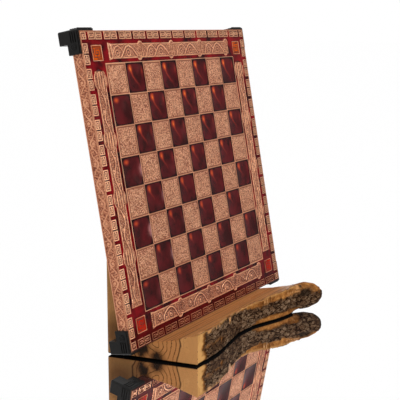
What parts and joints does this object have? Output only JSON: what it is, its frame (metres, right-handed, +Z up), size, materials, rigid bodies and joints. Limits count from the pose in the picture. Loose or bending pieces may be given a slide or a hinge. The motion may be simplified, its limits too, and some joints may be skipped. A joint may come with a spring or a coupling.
{
  "type": "chess board with display stand",
  "caption": "Square chess board with an embossed copper face, red enamel fills and four black corner feet, leaning on a live-edge olive wood stand from which it lifts off.",
  "frame": {"origin": "on the ground below the middle of the whole object's footprint", "axes": "+Z up, +X to the right along the board's lower edge seen from the front, +Y to the back"},
  "size_m": [0.3672, 0.1802, 0.38],
  "materials": {
    "copper_relief": "embossed rose copper, patinated in the hollows",
    "red_enamel": "glossy translucent red resin enamel",
    "maroon_enamel": "glossy dark maroon resin enamel",
    "orange_enamel": "glossy orange resin enamel",
    "core_board": "plain fibreboard",
    "back_cover": "black grained leatherette",
    "black_foot": "black cast metal, satin",
    "black_felt": "black felt",
    "olive_wood": "oiled olive wood with a bark edge",
    "clear_bumper": "soft rubber"
  },
  "bodies": {
    "stand": {"stand_block": "olive_wood", "stand_bumpers": "clear_bumper"},
    "board": {"face_plate": "copper_relief", "core_panel": "core_board", "back_cover": "back_cover", "side_rail_bottom": "copper_relief", "side_rail_right": "copper_relief", "side_rail_top": "copper_relief", "side_rail_left": "copper_relief", "playing_field": "copper_relief", "dark_square_enamel": "maroon_enamel", "key_border_bottom": "copper_relief", "key_border_right": "copper_relief", "key_border_top": "copper_relief", "key_border_left": "copper_relief", "frieze_bottom": "copper_relief", "frieze_top": "copper_relief", "frieze_right": "copper_relief", "frieze_left": "copper_relief", "medallions": "copper_relief", "medallion_enamel": "orange_enamel", "channel_enamel": "red_enamel", "foot_bottom_left": "black_foot", "foot_bottom_right": "black_foot", "foot_top_right": "black_foot", "foot_top_left": "black_foot", "foot_felts": "black_felt"}
  },
  "joints": [
    {"name": "board_lift", "type": "slide", "parent": "stand", "child": "board", "axis": [0, 0.1822, 0.9833], "range_m": [0, 0.11]}
  ]
}
